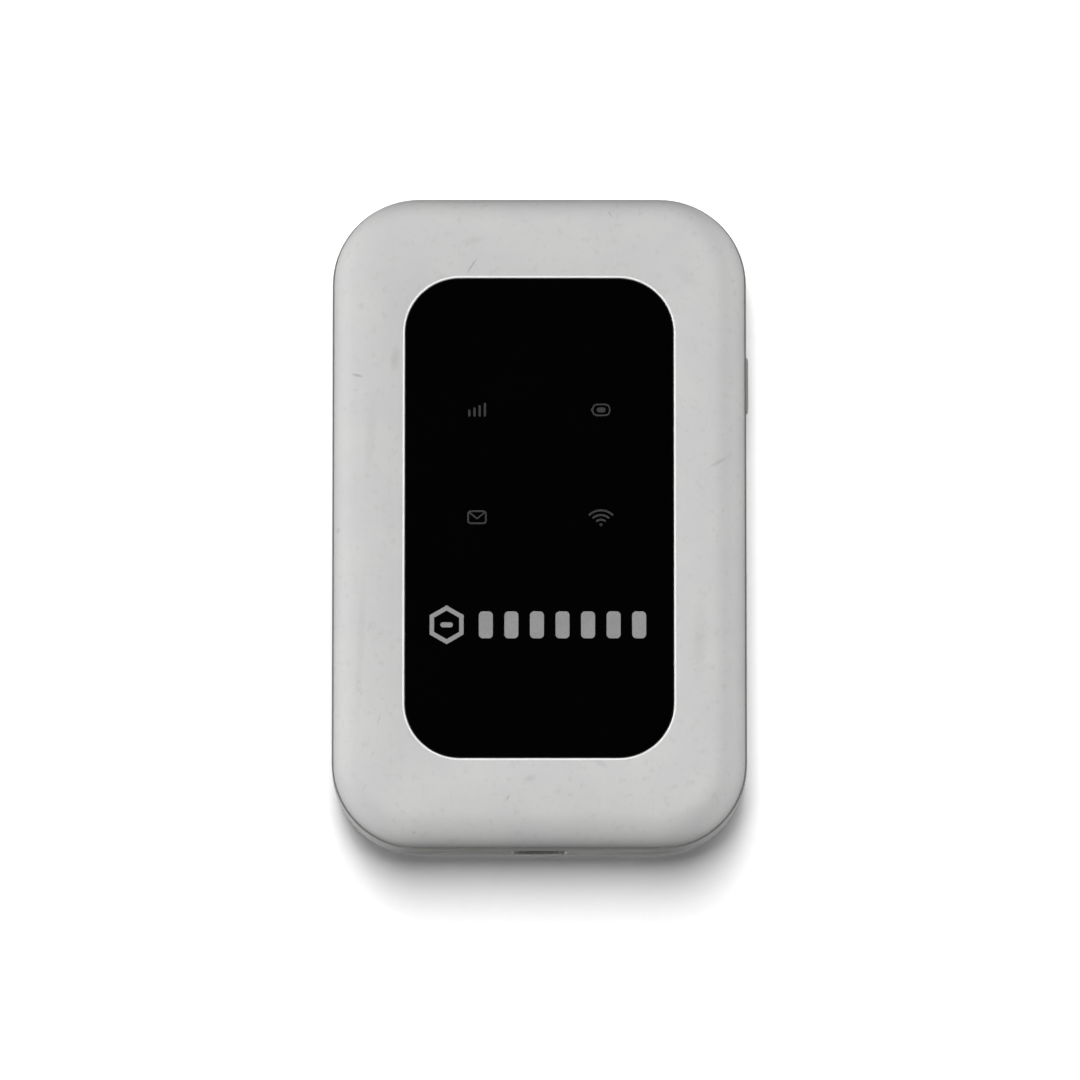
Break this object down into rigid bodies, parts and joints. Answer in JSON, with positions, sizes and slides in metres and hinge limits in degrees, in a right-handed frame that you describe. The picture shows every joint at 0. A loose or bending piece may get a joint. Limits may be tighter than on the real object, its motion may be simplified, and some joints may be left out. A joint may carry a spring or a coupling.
{
  "type": "mobile hotspot",
  "caption": "Pocket mobile hotspot with a white round-cornered case, a black icon panel, a side button, a micro-USB socket and a removable battery.",
  "frame": {"origin": "middle of the flat back face, on the surface the object lies on", "axes": "+Z out of the front panel, +Y towards the end opposite the USB socket, +X towards the side with the power button"},
  "size_m": [0.0614, 0.097, 0.015],
  "materials": {
    "white_casing": "fine moulded satin white ABS",
    "black_panel": "polished black acrylic",
    "black_foam": "black foam tape",
    "white_film": "frosted polyester film",
    "green_board": "satin green solder mask",
    "black_plastic": "moulded black nylon",
    "led_ceramic": "fired ceramic",
    "tinned_steel": "rolled tinned steel",
    "bright_steel": "nickel-plated stamped steel",
    "screw_steel": "black zinc",
    "chip_epoxy": "moulded epoxy",
    "grey_silicone": "soft grey silicone",
    "ferrite": "sintered ferrite",
    "copper_film": "etched copper on film",
    "gold_plate": "gold flash",
    "card_plastic": "satin white card",
    "battery_wrap": "dark printed wrap over an aluminium can",
    "dark_plastic": "moulded dark polycarbonate",
    "white_label": "blank coated paper",
    "grey_button": "satin grey ABS",
    "red_plastic": "moulded red nylon"
  },
  "bodies": {
    "case": {"front_cover": "white_casing", "lens_panel": "black_panel", "lens_adhesive": "black_foam", "diffuser_film": "white_film", "rear_housing": "white_casing", "main_board": "green_board", "light_baffle": "black_plastic", "led_signal": "led_ceramic", "led_battery": "led_ceramic", "led_message": "led_ceramic", "led_wifi": "led_ceramic", "rf_shield": "tinned_steel", "wifi_shield": "tinned_steel", "baseband_shield": "tinned_steel", "processor": "chip_epoxy", "memory_chip": "chip_epoxy", "power_chip": "chip_epoxy", "rf_transceiver": "chip_epoxy", "rf_amplifier": "chip_epoxy", "wifi_chip": "chip_epoxy", "thermal_pad": "grey_silicone", "crystal": "tinned_steel", "power_inductors": "ferrite", "capacitors": "led_ceramic", "main_antenna": "copper_film", "diversity_antenna": "copper_film", "wifi_antenna": "tinned_steel", "antenna_springs": "gold_plate", "usb_shell": "bright_steel", "usb_insulator": "black_plastic", "usb_contacts": "gold_plate", "sim_holder": "black_plastic", "sim_shell": "bright_steel", "sim_contacts": "gold_plate", "battery_connector": "black_plastic", "rating_label": "white_label", "power_switch": "bright_steel", "reset_switch": "bright_steel", "case_screws": "screw_steel"},
    "battery_cover": {"battery_cover": "white_casing"},
    "battery": {"battery_cell": "battery_wrap", "battery_header": "dark_plastic", "battery_pads": "gold_plate", "battery_label": "white_label"},
    "contact_pins": {"battery_contacts": "gold_plate"},
    "sim": {"sim_card": "card_plastic", "sim_card_pads": "gold_plate"},
    "power_button": {"power_button": "grey_button"},
    "power_plunger": {"power_plunger": "black_plastic"},
    "reset_plunger": {"reset_plunger": "red_plastic"}
  },
  "joints": [
    {"name": "battery_cover_removal", "type": "slide", "parent": "case", "child": "battery_cover", "axis": [0, 0, -1], "range_m": [0, 0.04]},
    {"name": "battery_removal", "type": "slide", "parent": "case", "child": "battery", "axis": [0, 0, -1], "range_m": [0, 0.02]},
    {"name": "contact_pin_travel", "type": "slide", "parent": "case", "child": "contact_pins", "axis": [0, 1, 0], "range_m": [0, 0.0005]},
    {"name": "sim_card_slide", "type": "slide", "parent": "case", "child": "sim", "axis": [1, 0, 0], "range_m": [0, 0.0135]},
    {"name": "power_button_press", "type": "slide", "parent": "case", "child": "power_button", "axis": [-1, 0, 0], "range_m": [0, 0.00035], "stiffness_N_per_m": 1000, "springref_m": -0.0005},
    {"name": "power_plunger_travel", "type": "slide", "parent": "case", "child": "power_plunger", "axis": [-1, 0, 0], "range_m": [0, 0.00025]},
    {"name": "reset_press", "type": "slide", "parent": "case", "child": "reset_plunger", "axis": [0, 0, 1], "range_m": [0, 0.00025], "stiffness_N_per_m": 800, "springref_m": -0.0005}
  ],
  "couplings": [
    {"joint": "battery_removal", "follows": "battery_cover_removal", "ratio": 0.5},
    {"joint": "contact_pin_travel", "follows": "battery_cover_removal", "ratio": 0.0125},
    {"joint": "power_plunger_travel", "follows": "power_button_press", "ratio": 0.714}
  ]
}
